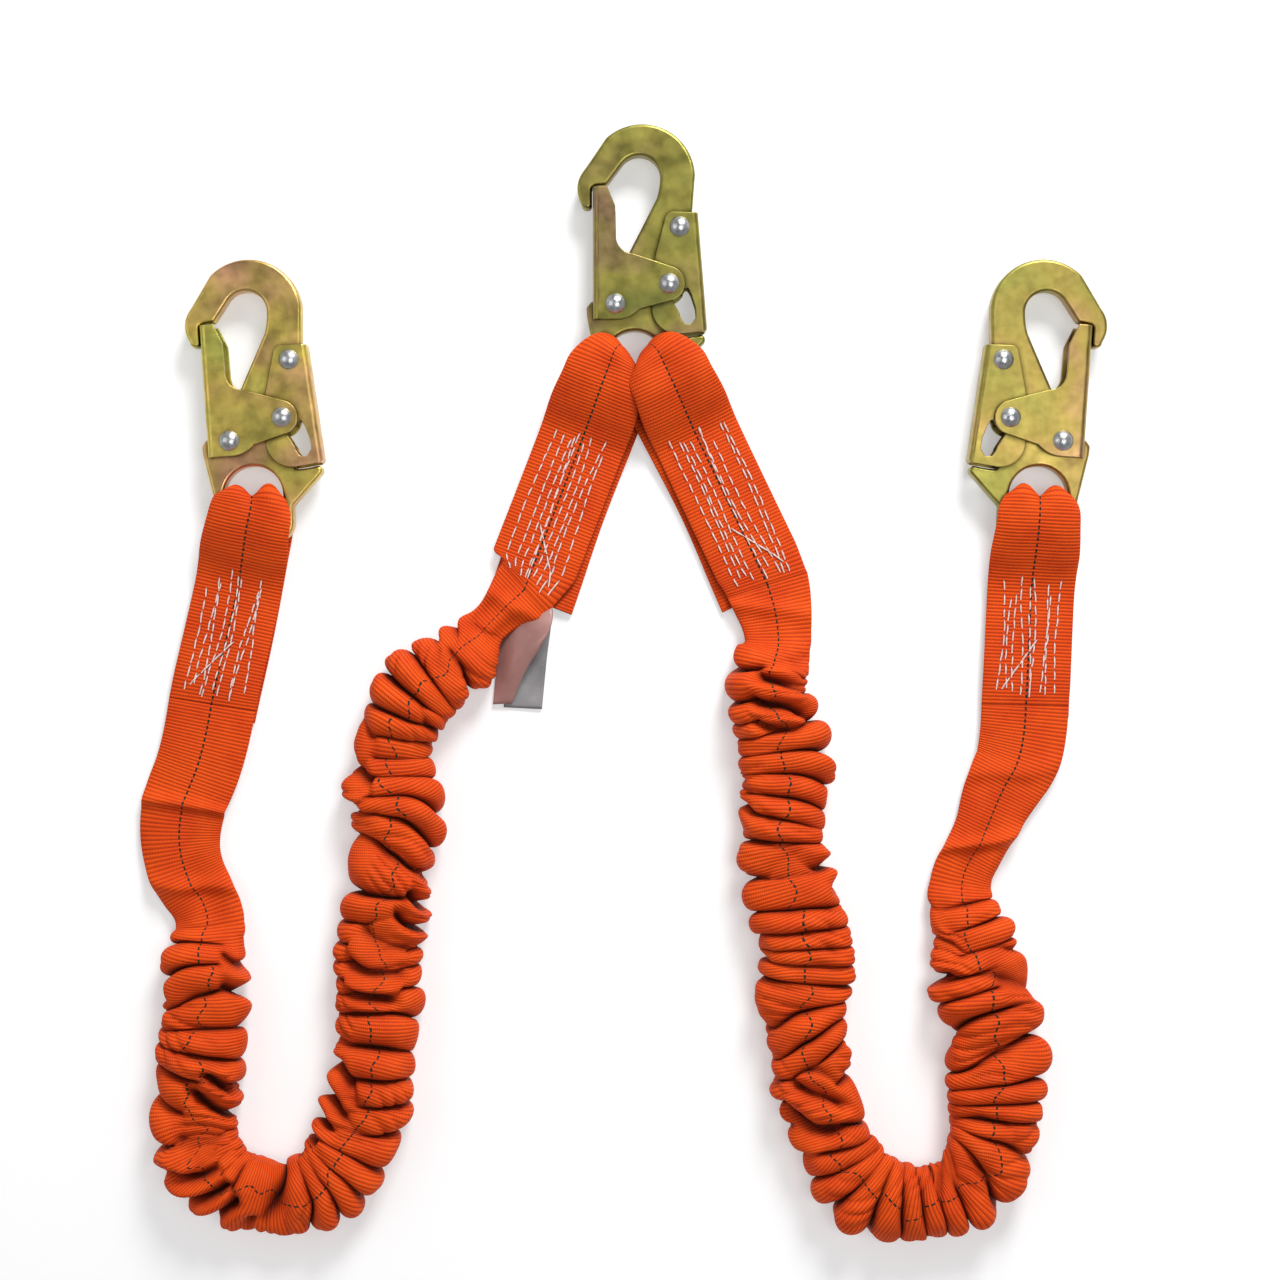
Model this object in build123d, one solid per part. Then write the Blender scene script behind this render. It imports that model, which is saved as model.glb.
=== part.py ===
from build123d import *
import math
import os

# Twin-leg shock absorbing lanyard, laid out flat: three double-locking snap hooks and two
# elasticated webbing legs.  +Z is up from the surface, +Y points from the eyes to the hooks' bows.

# ---- Driving sizes, in millimetres and degrees ----
HOOK_MID = 10.8          # height of a hook's middle plane above the surface
BODY_THICK = 9.0         # forged hook body
LEVER_IN, LEVER_OUT = 4.8, 6.4      # lock lever's cheeks, from the middle plane
GATE_IN, GATE_OUT = 6.7, 8.3        # gate's cheeks, from the middle plane
SHEET = 1.6              # sheet steel of the gate and the lever
PIN_R = 3.0
RUN_FIT = 0.05           # radial clearance of the pivots
HEAD_R = 5.0
HEAD_H = 2.45
SLOT_R = 3.3             # half width of the lever's slot for the lock pin
EDGE_ROUND = 1.6         # forged edges
CORNER_ROUND = 2.2       # forged outline's corners
SMOOTH = 5.0             # a smaller turn of an outline than this is left as it is
WIRE_R = 0.45            # torsion springs
COIL_R = 5.0
COIL_PITCH = 0.95
SPRING_GAP = 0.15        # from the gate's spring to the body
LEVER_SPRING_LOW = BODY_THICK / 2 - 2 * WIRE_R - COIL_PITCH - 0.1
POCKET_FLOOR = LEVER_SPRING_LOW - 0.05     # of the lever spring's recess in the body

EYE_R = 14.75            # hook eye
EYE_CORNER = 8.0
BAR = 9.0                # the eye's lower bar
EYE_SIDE = 19.3

GATE_PIVOT = (-9.5, 27.6)
LEVER_PIVOT = (22.4, 66.1)
LOCK_PIN = (17.2, 37.5)

OUTER_TILT = 3.9         # the outer hooks lean outwards at the top
CENTRE_EYE = (-5.7, -12.85)
OUTER_EYE = (195.45, -80.3)

STRAP_WIDE = 44.0        # webbing
STRAP_THICK = 3.4
STRAP_LOW = 0.4          # the sewn ends' lower face
FLAT_THICK = 5.2
FLAT_LOW = 1.8
SLEEVE_WIDE, SLEEVE_HIGH, SLEEVE_ROUND = 39.0, 24.0, 9.0
SLEEVE_WALL, SLEEVE_LOW = 1.8, 0.2
CORE_WIDE, CORE_HIGH, CORE_ROUND = 23.0, 9.0, 1.5
ELASTIC_WIDE, ELASTIC_HIGH, ELASTIC_ROUND = 3.6, 2.2, 0.6
ELASTIC_OUT = 14.6       # from the leg's centreline
NECK_HALF = 10.3         # the webbing is bunched to this where it goes through an eye
NECK_END, FLARE_END = -27.0, -42.0
FOLD_TOP = 2.0           # top of the webbing's fold, from the eye's centre
SLOPE_TOP, SLOPE_END = -21.0, -50.0        # the front layer comes down between these
BAND_REACH = 130.0       # past the farthest point of a sewn end
THREAD_WIDE, THREAD_HIGH = 0.8, 0.4
THREAD_ROWS, THREAD_STEP = 6, 5.4
SEAM_START, SEAM_END = -58.0, 4.0          # from the eye's centre, and from the leg's first point
SEAM_LONG = 66.0         # at most
LABEL_LEAF = 0.3         # label pack
LABEL_LOW, LABEL_UPPER = 0.2, 1.2          # lower faces of its cover's two leaves
LABEL_TOP, LABEL_FOLD = -137.5, -70.0
PAGES_THICK = 0.55
PAGES_GAP = 0.05

# The legs' routes between their sewn ends, from the centre hook to the outer hook.
LEFT_ROUTE = [
    (-61, -127.2), (-70.5, -149.5), (-95.5, -166.2), (-118, -182.2), (-129, -208.2), (-122.5, -242),
    (-128, -274.5), (-134, -305), (-132.5, -338.5), (-136.5, -370), (-145.5, -403.8), (-160.6, -424.6),
    (-185, -432.5), (-209.4, -424.6), (-224.5, -403.8), (-225, -375), (-218.5, -345), (-221, -315),
    (-217, -290), (-233.5, -266.5), (-234.5, -238.5), (-222, -210), (-218, -184.7),
]
RIGHT_ROUTE = [
    (61, -124.7), (69, -149.7), (60, -173), (67.5, -199.7), (70, -227), (66, -253.5), (74, -281.5),
    (81, -309.7), (76.5, -337.5), (83, -367), (92, -402), (108.3, -427), (133, -435.5), (157.7, -427.5),
    (172.5, -406.5), (174.5, -380), (175.5, -352), (169.5, -325), (160, -299), (156, -273), (169, -251),
    (178, -228), (190, -208), (190.5, -185.2),
]
# Runs of each route on which the gathered part of the sleeve starts and ends.
LEFT_GATHER, RIGHT_GATHER = (1, 17), (1, 18)

parts = {}


def blank(edges, half):
    """A plate of the closed outline, from -half to +half."""
    return extrude(Face(Wire(edges)), half, dir=(0, 0, 1), both=True)


def rounded_plate(edges, half, radius):
    """A plate of the closed outline with the outline's real corners rounded."""
    pairs = zip(edges, edges[1:] + edges[:1])
    corners = [a @ 1 for a, b in pairs if (a % 1).get_angle(b % 0) > SMOOTH]
    plate = blank(edges, half)
    for corner in corners:
        sharp = [e for e in plate.edges().filter_by(Axis.Z) if (e.center() - corner).length < 0.01]
        plate = fillet(sharp, radius)
    return plate


def block(x0, x1, y0, y1, z0, z1):
    return Pos((x0 + x1) / 2, (y0 + y1) / 2, (z0 + z1) / 2) * Box(x1 - x0, y1 - y0, z1 - z0)


def around(centre, radius, degrees):
    turn = math.radians(degrees)
    return (centre[0] + radius * math.cos(turn), centre[1] + radius * math.sin(turn))


def arc_about(centre, radius, start, end):
    turns = (start, (start + end) / 2, end)
    return ThreePointArc(*[around(centre, radius, turn) for turn in turns])


def drill(centre, radius, length=30):
    return Pos(*centre, 0) * Cylinder(radius, length)


def capsule(start, end, radius, length=30):
    """A round-ended slot cutter."""
    run = math.dist(start, end)
    lean = math.degrees(math.atan2(end[1] - start[1], end[0] - start[0]))
    middle = ((start[0] + end[0]) / 2, (start[1] + end[1]) / 2)
    bar = Pos(*middle, 0) * Rot(0, 0, lean) * Box(run, 2 * radius, length)
    return bar + drill(start, radius, length) + drill(end, radius, length)


# ---- Snap hook, in its own frame: origin at the eye's centre, bow towards +Y ----
def hook_body():
    """Forged body: bow with a beaked nose, spine, gate hub, eye and tail."""
    half = BODY_THICK / 2
    low = EYE_R + BAR
    hub = [around(GATE_PIVOT, 9.5, a) for a in (108.5, 170.3)]
    pin_wall = [around(GATE_PIVOT, 25.0, a) for a in (33.2, -19.2)]
    tail = [around(LEVER_PIVOT, 54.5, a) for a in (-76.5, -91.0)]
    corner = EYE_SIDE - 9.8
    edges = [
        Line((-13.7, 87.5), (-5.8, 98.2)),
        ThreePointArc((-5.8, 98.2), (3.5, 101.8), (12.8, 91.5)),
        ThreePointArc((12.8, 91.5), (12.3, 85.8), (10.8, 80.0)),
        Line((10.8, 80.0), (-2.9, 53.1)),
        Line((-2.9, 53.1), hub[0]),
        arc_about(GATE_PIVOT, 9.5, 108.5, 170.3),
        Line(hub[1], (-21.6, 29.2)),
        Line((-21.6, 29.2), (-24.0, 26.1)),
        Line((-24.0, 26.1), (-23.8, 22.0)),
        Line((-23.8, 22.0), (-EYE_SIDE, -3.0)),
        Line((-EYE_SIDE, -3.0), (-EYE_SIDE, 9.8 - low)),
        arc_about((-corner, 9.8 - low), 9.8, 180, 270),
        Line((-corner, -low), (corner, -low)),
        arc_about((corner, 9.8 - low), 9.8, 270, 360),
        Line((EYE_SIDE, 9.8 - low), (EYE_SIDE, -6.5)),
        Line((EYE_SIDE, -6.5), (35.1, 9.2)),
        Line((35.1, 9.2), tail[0]),
        arc_about(LEVER_PIVOT, 54.5, -76.5, -91.0),
        Line(tail[1], (21.5, 19.4)),
        Line((21.5, 19.4), pin_wall[1]),
        arc_about(GATE_PIVOT, 25.0, -19.2, 33.2),
        Line(pin_wall[0], (21.8, 41.9)),
        Line((21.8, 41.9), (26.0, 47.0)),
        Line((26.0, 47.0), (28.9, 76.0)),
        Line((28.9, 76.0), (30.1, 92.4)),
        ThreePointArc((30.1, 92.4), (9.0, 117.0), (-14.1, 110.7)),
        Line((-14.1, 110.7), (-24.9, 94.9)),
        ThreePointArc((-24.9, 94.9), (-28.5, 86.5), (-26.5, 78.3)),
        ThreePointArc((-26.5, 78.3), (-24.2, 75.4), (-21.3, 76.6)),
        Line((-21.3, 76.6), (-21.3, 86.7)),
        Line((-21.3, 86.7), (-13.7, 87.5)),
    ]
    eye = [
        arc_about((0, 0), EYE_R, 0, 180),
        Line((-EYE_R, 0), (-EYE_R, EYE_CORNER - EYE_R)),
        arc_about((EYE_CORNER - EYE_R, EYE_CORNER - EYE_R), EYE_CORNER, 180, 270),
        Line((EYE_CORNER - EYE_R, -EYE_R), (EYE_R - EYE_CORNER, -EYE_R)),
        arc_about((EYE_R - EYE_CORNER, EYE_CORNER - EYE_R), EYE_CORNER, 270, 360),
        Line((EYE_R, EYE_CORNER - EYE_R), (EYE_R, 0)),
    ]
    body = rounded_plate(edges, half, CORNER_ROUND) - blank(eye, half + 1)
    rims = body.edges().filter_by_position(Axis.Z, half, half)
    rims += body.edges().filter_by_position(Axis.Z, -half, -half)
    body = fillet(rims, EDGE_ROUND)
    body -= drill(GATE_PIVOT, PIN_R) + drill(LEVER_PIVOT, PIN_R)
    above = half + 1
    recess = Cylinder(COIL_R + 1.1, above - POCKET_FLOOR)
    body -= Pos(*LEVER_PIVOT, (POCKET_FLOOR + above) / 2) * recess
    leg_y = LEVER_PIVOT[1] - COIL_R
    body -= block(13.2, 31.0, leg_y - 0.8, leg_y + 0.8, POCKET_FLOOR, above)
    return body


def gate():
    """Folded sheet gate: two cheeks joined by a web on the mouth's side, with a locking ear."""
    web = -20.7
    edges = [
        Line((web, 19.9), (web, 85.8)),
        Line((web, 85.8), (-13.7, 85.8)),
        Line((-13.7, 85.8), (-9.6, 76.0)),
        Line((-9.6, 76.0), (-9.3, 61.0)),
        ThreePointArc((-9.3, 61.0), (-7.4, 55.6), (-0.8, 52.2)),
        Line((-0.8, 52.2), (19.1, 45.6)),
        ThreePointArc((19.1, 45.6), (25.0, 37.6), (19.1, 29.4)),
        Line((19.1, 29.4), (2.5, 24.9)),
        ThreePointArc((2.5, 24.9), (-2.8, 21.2), (-9.1, 19.9)),
        Line((-9.1, 19.9), (web, 19.9)),
    ]
    shell = blank(edges, GATE_OUT)
    bends = [e for e in shell.edges().filter_by(Axis.Y) if e.center().X < web + 0.1]
    shell = fillet(bends, 3.0)
    inside = block(web + SHEET, 40, 0, 100, -GATE_IN, GATE_IN)
    inside = fillet([e for e in inside.edges().filter_by(Axis.Y) if e.center().X < 0], 1.4)
    shell -= inside
    shell -= block(web - 1, -18.0, 0, 31.0, -5.2, 5.2)
    return shell - drill(GATE_PIVOT, PIN_R + RUN_FIT) - drill(LOCK_PIN, PIN_R)


def lock_lever():
    """Folded sheet lever over the spine, slotted for the lock pin, with its web on the outer side."""
    top, foot = (31.5, 73.0), (36.1, 15.8)
    edges = [
        Line((8.7, 26.0), (9.9, 49.7)),
        Line((9.9, 49.7), (14.9, 69.2)),
        ThreePointArc((14.9, 69.2), (16.2, 72.3), (19.1, 73.4)),
        Line((19.1, 73.4), top),
        Line(top, foot),
        ThreePointArc(foot, (34.8, 14.2), (32.3, 13.7)),
        Line((32.3, 13.7), (22.4, 12.7)),
        ThreePointArc((22.4, 12.7), (12.6, 16.2), (8.7, 26.0)),
    ]
    shell = blank(edges, LEVER_OUT)
    bends = [
        e for e in shell.edges().filter_by(GeomType.LINE)
        if e.length > 50 and e.center().X > 30
    ]
    shell = fillet(bends, 2.6)
    lean = (foot[0] - top[0]) / (top[1] - foot[1])
    inner_x = [top[0] + (top[1] - y) * lean - SHEET for y in (80, 5)]
    room = Polyline((0, 80), (inner_x[0], 80), (inner_x[1], 5), (0, 5), close=True)
    inside = blank(room.edges(), LEVER_IN)
    inside = fillet([e for e in inside.edges() if e.length > 60 and e.center().X > 20], 1.0)
    shell -= inside
    window = [
        (25.7, 37.3), (28.2, 32.7), (30.3, 26.1), (30.7, 21.1), (28.2, 17.4), (24.9, 17.8), (22.8, 21.1),
        (21.6, 27.8),
    ]
    opening = make_face(Polyline(*window, close=True))
    opening = fillet(opening.vertices(), 1.2)
    slot = extrude(opening, 15, dir=(0, 0, 1), both=True)
    slot += capsule(LOCK_PIN, (22.0, 30.3), SLOT_R) + capsule((22.0, 30.3), (26.2, 22.8), SLOT_R)
    return shell - slot - drill(LEVER_PIVOT, PIN_R + RUN_FIT)


def headed_pin(centre, seat):
    """A pin whose domed heads sit on the faces at -seat and +seat."""
    ball = (HEAD_R**2 + HEAD_H**2) / (2 * HEAD_H)
    pin = Cylinder(PIN_R, 2 * seat)
    for side in (-1, 1):
        dome = Pos(0, 0, side * (seat + HEAD_H - ball)) * Sphere(ball)
        pin += dome & (Pos(0, 0, side * (seat + HEAD_H / 2)) * Cylinder(HEAD_R + 1, HEAD_H))
    return Pos(*centre, 0) * pin


def torsion_spring(centre, low, quarter, first_leg, last_leg):
    """One turn of wire with a straight leg each way from the point at the given angle."""
    coil = Helix(COIL_PITCH, COIL_PITCH, COIL_R)
    solid = sweep(Plane(origin=coil @ 0, z_dir=coil % 0) * Circle(WIRE_R), path=coil)
    for place, length in ((0, -first_leg), (1, last_leg)):
        height = place * COIL_PITCH
        rod = Rot(90, 0, 0) * Cylinder(WIRE_R, abs(length))
        solid += Pos(COIL_R, length / 2, height) * rod + Pos(COIL_R, 0, height) * Sphere(WIRE_R)
    return Pos(*centre, low + WIRE_R) * Rot(0, 0, quarter) * solid


def hook(prefix, place):
    gate_spring_low = BODY_THICK / 2 + SPRING_GAP
    made = {
        "hook_body": hook_body(),
        "gate": gate(),
        "lock_lever": lock_lever(),
        "gate_rivet": headed_pin(GATE_PIVOT, GATE_OUT + RUN_FIT),
        "lever_rivet": headed_pin(LEVER_PIVOT, LEVER_OUT + RUN_FIT),
        "lock_pin": headed_pin(LOCK_PIN, GATE_OUT),
        "gate_spring": torsion_spring(GATE_PIVOT, gate_spring_low, 90, 8.0, 9.0),
        "lever_spring": torsion_spring(LEVER_PIVOT, LEVER_SPRING_LOW, -90, 8.2, 7.8),
    }
    for name, shape in made.items():
        parts[f"{prefix}_{name}"] = place * shape


def eye_place(side):
    """Where a hook's frame lies: 0 is the centre hook, -1 the left and +1 the right, turned over."""
    if side == 0:
        return Pos(*CENTRE_EYE, HOOK_MID)
    lean = Pos(side * OUTER_EYE[0], OUTER_EYE[1], HOOK_MID) * Rot(0, 0, -side * OUTER_TILT)
    return lean * Rot(0, 180, 0) if side > 0 else lean


def strap_place(side):
    """A hook's frame without the turn-over, which the sewn ends use."""
    if side == 0:
        return Pos(*CENTRE_EYE, HOOK_MID)
    return Pos(side * OUTER_EYE[0], OUTER_EYE[1], HOOK_MID) * Rot(0, 0, -side * OUTER_TILT)


# ---- Sewn ends ----
def sewn_eye(side, neck, end, before):
    """Webbing through an eye, folded back and sewn flat as far as the leg's end point."""
    place = strap_place(side)
    local = [(place.inverse() * Pos(*p, 0)).position for p in (end, before)]
    finish, beyond = Vector(local[0].X, local[0].Y, 0), Vector(local[1].X, local[1].Y, 0)
    across = (beyond - finish).normalized().rotate(Axis.Z, 90) * (STRAP_WIDE / 2)
    low = STRAP_LOW - HOOK_MID
    flat_top = low + 2 * STRAP_THICK
    inner_r = -low - STRAP_THICK
    fold = FOLD_TOP + low
    drop = (-low - flat_top) / (SLOPE_TOP - SLOPE_END)
    lift = STRAP_THICK * math.hypot(1, drop)
    inner_end = SLOPE_TOP - (-low - lift + inner_r) / drop
    inner_top = SLOPE_TOP - (-low - lift - inner_r) / drop
    outer = [
        Line((-BAND_REACH, low), (fold, low)),
        ThreePointArc((fold, low), (FOLD_TOP, 0), (fold, -low)),
        Line((fold, -low), (SLOPE_TOP, -low)),
        Line((SLOPE_TOP, -low), (SLOPE_END, flat_top)),
        Line((SLOPE_END, flat_top), (-BAND_REACH, flat_top)),
        Line((-BAND_REACH, flat_top), (-BAND_REACH, low)),
    ]
    hole = [
        Line((inner_end, -inner_r), (fold, -inner_r)),
        ThreePointArc((fold, -inner_r), (fold + inner_r, 0), (fold, inner_r)),
        Line((fold, inner_r), (inner_top, inner_r)),
        Line((inner_top, inner_r), (inner_end, -inner_r)),
    ]
    side_on = Plane(origin=(0, 0, 0), x_dir=(0, 1, 0), z_dir=(1, 0, 0))
    profile = side_on * (Face(Wire(outer)) - Face(Wire(hole)))
    band = extrude(profile, BAND_REACH, dir=(1, 0, 0), both=True)
    towards = Vector((neck[0] + neck[1]) / 2, NECK_END, 0)
    along = (finish - towards).normalized()
    share = (NECK_END - FLARE_END) / (NECK_END - finish.Y)
    flare = towards + (finish - towards) * share
    spread = along.rotate(Axis.Z, 90) * (STRAP_WIDE / 2)
    corners = [
        (neck[0], 20), (neck[1], 20), (neck[1], NECK_END), flare + spread, finish + across,
        finish - across, flare - spread, (neck[0], NECK_END),
    ]
    outline = Polyline(*corners, close=True)
    plan = extrude(make_face(outline), 20, dir=(0, 0, 1), both=True)
    shape = band & plan
    if side == 0:
        own_side = (-BAND_REACH, neck[1]) if neck[0] < 0 else (neck[0], BAND_REACH)
        shape &= block(*own_side, -BAND_REACH, 30, -20, 20)
    return place * shape, place, along, spread.normalized(), finish, flat_top


def stitching(place, along, across, finish, top):
    """Rows of thread on the flat of a sewn end."""
    rows = []
    long = min(SEAM_LONG, (finish.Y - SEAM_START) / along.Y - SEAM_END)
    lean = math.degrees(math.atan2(along.Y, along.X))
    for row in range(THREAD_ROWS):
        offset = (row - (THREAD_ROWS - 1) / 2) * THREAD_STEP
        middle = finish - along * (long / 2 + SEAM_END) + across * offset
        bar = Rot(0, 0, lean) * Box(long, THREAD_WIDE, THREAD_HIGH)
        rows.append(place * Pos(middle.X, middle.Y, top + THREAD_HIGH / 2) * bar)
    return Compound(rows)


# ---- Legs ----
def corner_radii(route):
    radii = []
    for before, here, after in zip(route, route[1:], route[2:]):
        into = Vector(*here) - Vector(*before)
        out = Vector(*after) - Vector(*here)
        turn = into.get_angle(out)
        radii.append(0.45 * min(into.length, out.length) / math.tan(math.radians(turn / 2)))
    return radii


def middle_of(a, b):
    return ((a[0] + b[0]) / 2, (a[1] + b[1]) / 2)


def run_of_tube(name, points, radii, wide, high, rounding, low, shift=0.0):
    """A flat-sided tube along straight runs and tangent arcs, all at one height."""
    lift = low + high / 2
    path = FilletPolyline(*[(x, y, lift) for x, y in points], radius=radii)
    way = path % 0
    start = Plane(origin=path @ 0, x_dir=Vector(0, 0, 1).cross(way), z_dir=way)
    section = start * Pos(shift, 0, 0) * RectangleRounded(wide, high, rounding)
    solid = sweep(section, path=path)
    print(name, "volume over section x length", round(solid.volume / (section.area * path.length), 4))
    return solid


def leg(prefix, route, gather, neck, side):
    radii = corner_radii(route)
    print(prefix, "radii", [round(r, 1) for r in radii])
    first, last = gather
    starts = middle_of(route[first], route[first + 1])
    ends = middle_of(route[last], route[last + 1])
    upper = route[: first + 1] + [starts]
    gathered = [starts] + route[first + 1 : last + 1] + [ends]
    lower = [ends] + route[last + 1 :]
    flat = (STRAP_WIDE, FLAT_THICK, FLAT_THICK / 2 - 0.1, FLAT_LOW)
    pieces = [
        run_of_tube("upper flat", upper, radii[:first], *flat),
        run_of_tube("lower flat", lower, radii[last:], *flat),
    ]
    middle = radii[first:last]
    round_about = (SLEEVE_WIDE, SLEEVE_HIGH, SLEEVE_ROUND, SLEEVE_LOW)
    sleeve = run_of_tube("sleeve", gathered, middle, *round_about)
    inner = run_of_tube(
        "hollow", gathered, middle, SLEEVE_WIDE - 2 * SLEEVE_WALL, SLEEVE_HIGH - 2 * SLEEVE_WALL,
        SLEEVE_ROUND - SLEEVE_WALL, SLEEVE_LOW + SLEEVE_WALL,
    )
    parts[f"{prefix}_leg_cover"] = (sleeve - inner) + pieces[0] + pieces[1]
    centre = SLEEVE_LOW + SLEEVE_HIGH / 2
    core = (CORE_WIDE, CORE_HIGH, CORE_ROUND, centre - CORE_HIGH / 2)
    parts[f"{prefix}_absorber_core"] = run_of_tube("core", gathered, middle, *core)
    strip = (ELASTIC_WIDE, ELASTIC_HIGH, ELASTIC_ROUND, centre - ELASTIC_HIGH / 2)
    sides = (-ELASTIC_OUT, ELASTIC_OUT)
    strips = [run_of_tube("strip", gathered, middle, *strip, shift) for shift in sides]
    parts[f"{prefix}_elastic_strips"] = Compound(strips)
    for where, at, its_neck, end, before in (
        ("upper", 0, neck, route[0], route[1]),
        ("lower", side, (-NECK_HALF, NECK_HALF), route[-1], route[-2]),
    ):
        eye, *sewn = sewn_eye(at, its_neck, end, before)
        parts[f"{prefix}_{where}_eye"] = eye
        parts[f"{prefix}_{where}_stitching"] = stitching(*sewn)


# ---- Label pack, tucked under the left leg's upper end ----
def label():
    """A folded cover with the pages between its two leaves."""
    cut = [(LABEL_FOLD, LABEL_TOP), (-47.5, LABEL_TOP), (-51.5, -186.7), (LABEL_FOLD, -184.2)]
    leaf = extrude(make_face(Polyline(*cut, close=True)), LABEL_LEAF)
    cover_top = LABEL_UPPER + LABEL_LEAF
    fold = block(LABEL_FOLD, LABEL_FOLD + 0.4, -184.2, LABEL_TOP, LABEL_LOW, cover_top)
    parts["label_cover"] = Pos(0, 0, LABEL_LOW) * leaf + Pos(0, 0, LABEL_UPPER) * leaf + fold
    pages_top = LABEL_TOP - 1.5
    page = [(-69.4, pages_top), (-49.3, pages_top), (-53.1, -184.6), (-69.4, -182.4)]
    pages = extrude(make_face(Polyline(*page, close=True)), PAGES_THICK)
    parts["label_pages"] = Pos(0, 0, LABEL_LOW + LABEL_LEAF + PAGES_GAP) * pages


for prefix, side in (("center", 0), ("left", -1), ("right", 1)):
    hook(prefix, eye_place(side))
leg("left", LEFT_ROUTE, LEFT_GATHER, (-NECK_HALF, -0.2), -1)
leg("right", RIGHT_ROUTE, RIGHT_GATHER, (0.2, NECK_HALF), 1)
label()

os.makedirs("parts", exist_ok=True)
for node, shape in parts.items():
    shape.label = node
    export_step(shape, f"parts/{node}.step")
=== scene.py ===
import math

import bpy
import numpy as np
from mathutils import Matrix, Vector


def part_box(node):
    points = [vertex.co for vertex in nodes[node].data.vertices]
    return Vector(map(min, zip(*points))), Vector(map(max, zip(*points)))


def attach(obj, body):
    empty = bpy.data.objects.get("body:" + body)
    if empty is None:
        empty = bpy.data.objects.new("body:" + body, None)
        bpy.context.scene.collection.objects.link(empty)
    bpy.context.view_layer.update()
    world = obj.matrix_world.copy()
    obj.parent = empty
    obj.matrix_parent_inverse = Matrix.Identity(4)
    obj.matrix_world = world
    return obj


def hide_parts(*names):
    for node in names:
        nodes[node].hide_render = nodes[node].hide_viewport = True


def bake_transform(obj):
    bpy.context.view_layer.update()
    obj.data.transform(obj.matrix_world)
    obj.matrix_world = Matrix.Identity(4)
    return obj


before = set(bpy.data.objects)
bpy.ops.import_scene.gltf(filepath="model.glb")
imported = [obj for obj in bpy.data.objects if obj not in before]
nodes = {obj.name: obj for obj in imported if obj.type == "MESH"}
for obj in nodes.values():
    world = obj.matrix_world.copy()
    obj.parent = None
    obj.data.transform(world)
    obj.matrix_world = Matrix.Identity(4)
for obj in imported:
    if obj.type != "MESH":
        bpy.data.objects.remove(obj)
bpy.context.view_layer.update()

# ---------------------------------------------------------------- sizes, in metres
GATE_PIVOT = (-0.0095, 0.0276)      # in a hook's own frame, from its eye's centre
LEVER_PIVOT = (0.0224, 0.0661)
FLIPS = {"center": 1, "left": 1, "right": -1}   # -1 for the hook that lies turned over
COIL_R = 0.005                      # torsion springs
# Each spring, the part that it pushes, its pivot, its root's side of the coil and its free leg's reach.
SPRINGS = (
    ("gate_spring", "gate", GATE_PIVOT, COIL_R, -0.009),
    ("lever_spring", "lever", LEVER_PIVOT, -COIL_R, 0.0078),
)

HALF_WIDE = 0.0222                  # half its width and half its thickness where it is flat
HALF_HIGH = 0.0023
FLAT_Z = 0.0044                     # height of its middle where it is flat
GATHER_Z = 0.0122                   # and where it is gathered
BACK_Z = 0.0021                     # a sewn end's back layer
BACK_HALF_WIDE = 0.0216
BACK_HALF_HIGH = 0.0017
FLOOR_GAP = 0.0003
SOFT_FLOOR = 0.0022                 # webbing lower than this is pressed flat
RUFFLE = 0.0122                     # mean spacing of the gathers
RUFFLE_DEPTH = 0.0098
PINCH, LEAN = 0.0019, 0.0022        # how far the gathers pull the cloth along the leg
GATHER_HIGH = 0.0072                # what gathering adds to half the thickness
NECK_HIGH = 0.0032                  # and what a narrow neck adds
NECK_WIDE = 0.022                   # flat webbing with a smaller half width is a neck
DIMPLE = 0.0005
GATHER_EASE = 0.014                 # half the length over which the gathers begin or end
CREASE_LIMIT = 0.0066               # no crease is deeper, so that the strips inside stay hidden
WRINKLE = 0.0054                    # mean spacing of the fine wrinkles
WRINKLE_DEPTH = 0.0017
CORE_SIZE = (0.013, 0.0036)         # width and thickness of the strips inside
ELASTIC_SIZE = (0.0028, 0.0018)
ELASTIC_SIDE = 0.0088               # how far an elastic strip lies from the leg's middle
STRIP_INSET = 0.03                  # the strips end this far inside the gathers
RIB = 0.00175                       # spacing of the webbing's ribs
YARN = 0.00092                      # and of its yarns
TRACER_PITCH = 0.0031               # the dark tracer line's dashes
TRACER_SHARE = 0.62
TRACER_HALF = 0.00050
THREAD_R = 0.00041                  # sewing thread
THREAD_SIDES = 6
THREAD_TAPER = (0.55, 1, 1.05, 1, 0.55)         # a stitch's thickness from end to end
STITCH = (0.0042, 0.0062)           # shortest and longest
STITCH_GAP = (0.0008, 0.0022)
STITCH_SINK, STITCH_RISE = 0.00012, 0.00055     # its ends are sunk, and its middle rises by this from there
SEAM_LINES = 9                      # rows of stitches in a seam
SEAM_SPREAD = 0.62                  # how far out they lie, as a share of the strap's half width
SEAM_START = 0.003
SLANT_START, SLANT_LONG = 0.008, 0.026          # the slanting row across a seam
SLANT_STITCHES = 4
SEAM_TOP_Z = 0.0098                 # a seam ends where the front rises past this
AROUND = 112                        # points round a strap
FRONT_MIDDLE = AROUND // 2
STRAP_ROWS = 240                    # rows along a sewn end
STRAP_JOIN = 0.014                  # length over which it takes over from the leg's last ring
LEAF_ROWS = 36
LEAF_COLUMNS = 24
LEAF_THICK = 0.0003
UP = np.array([0, 0, 1.0])

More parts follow.
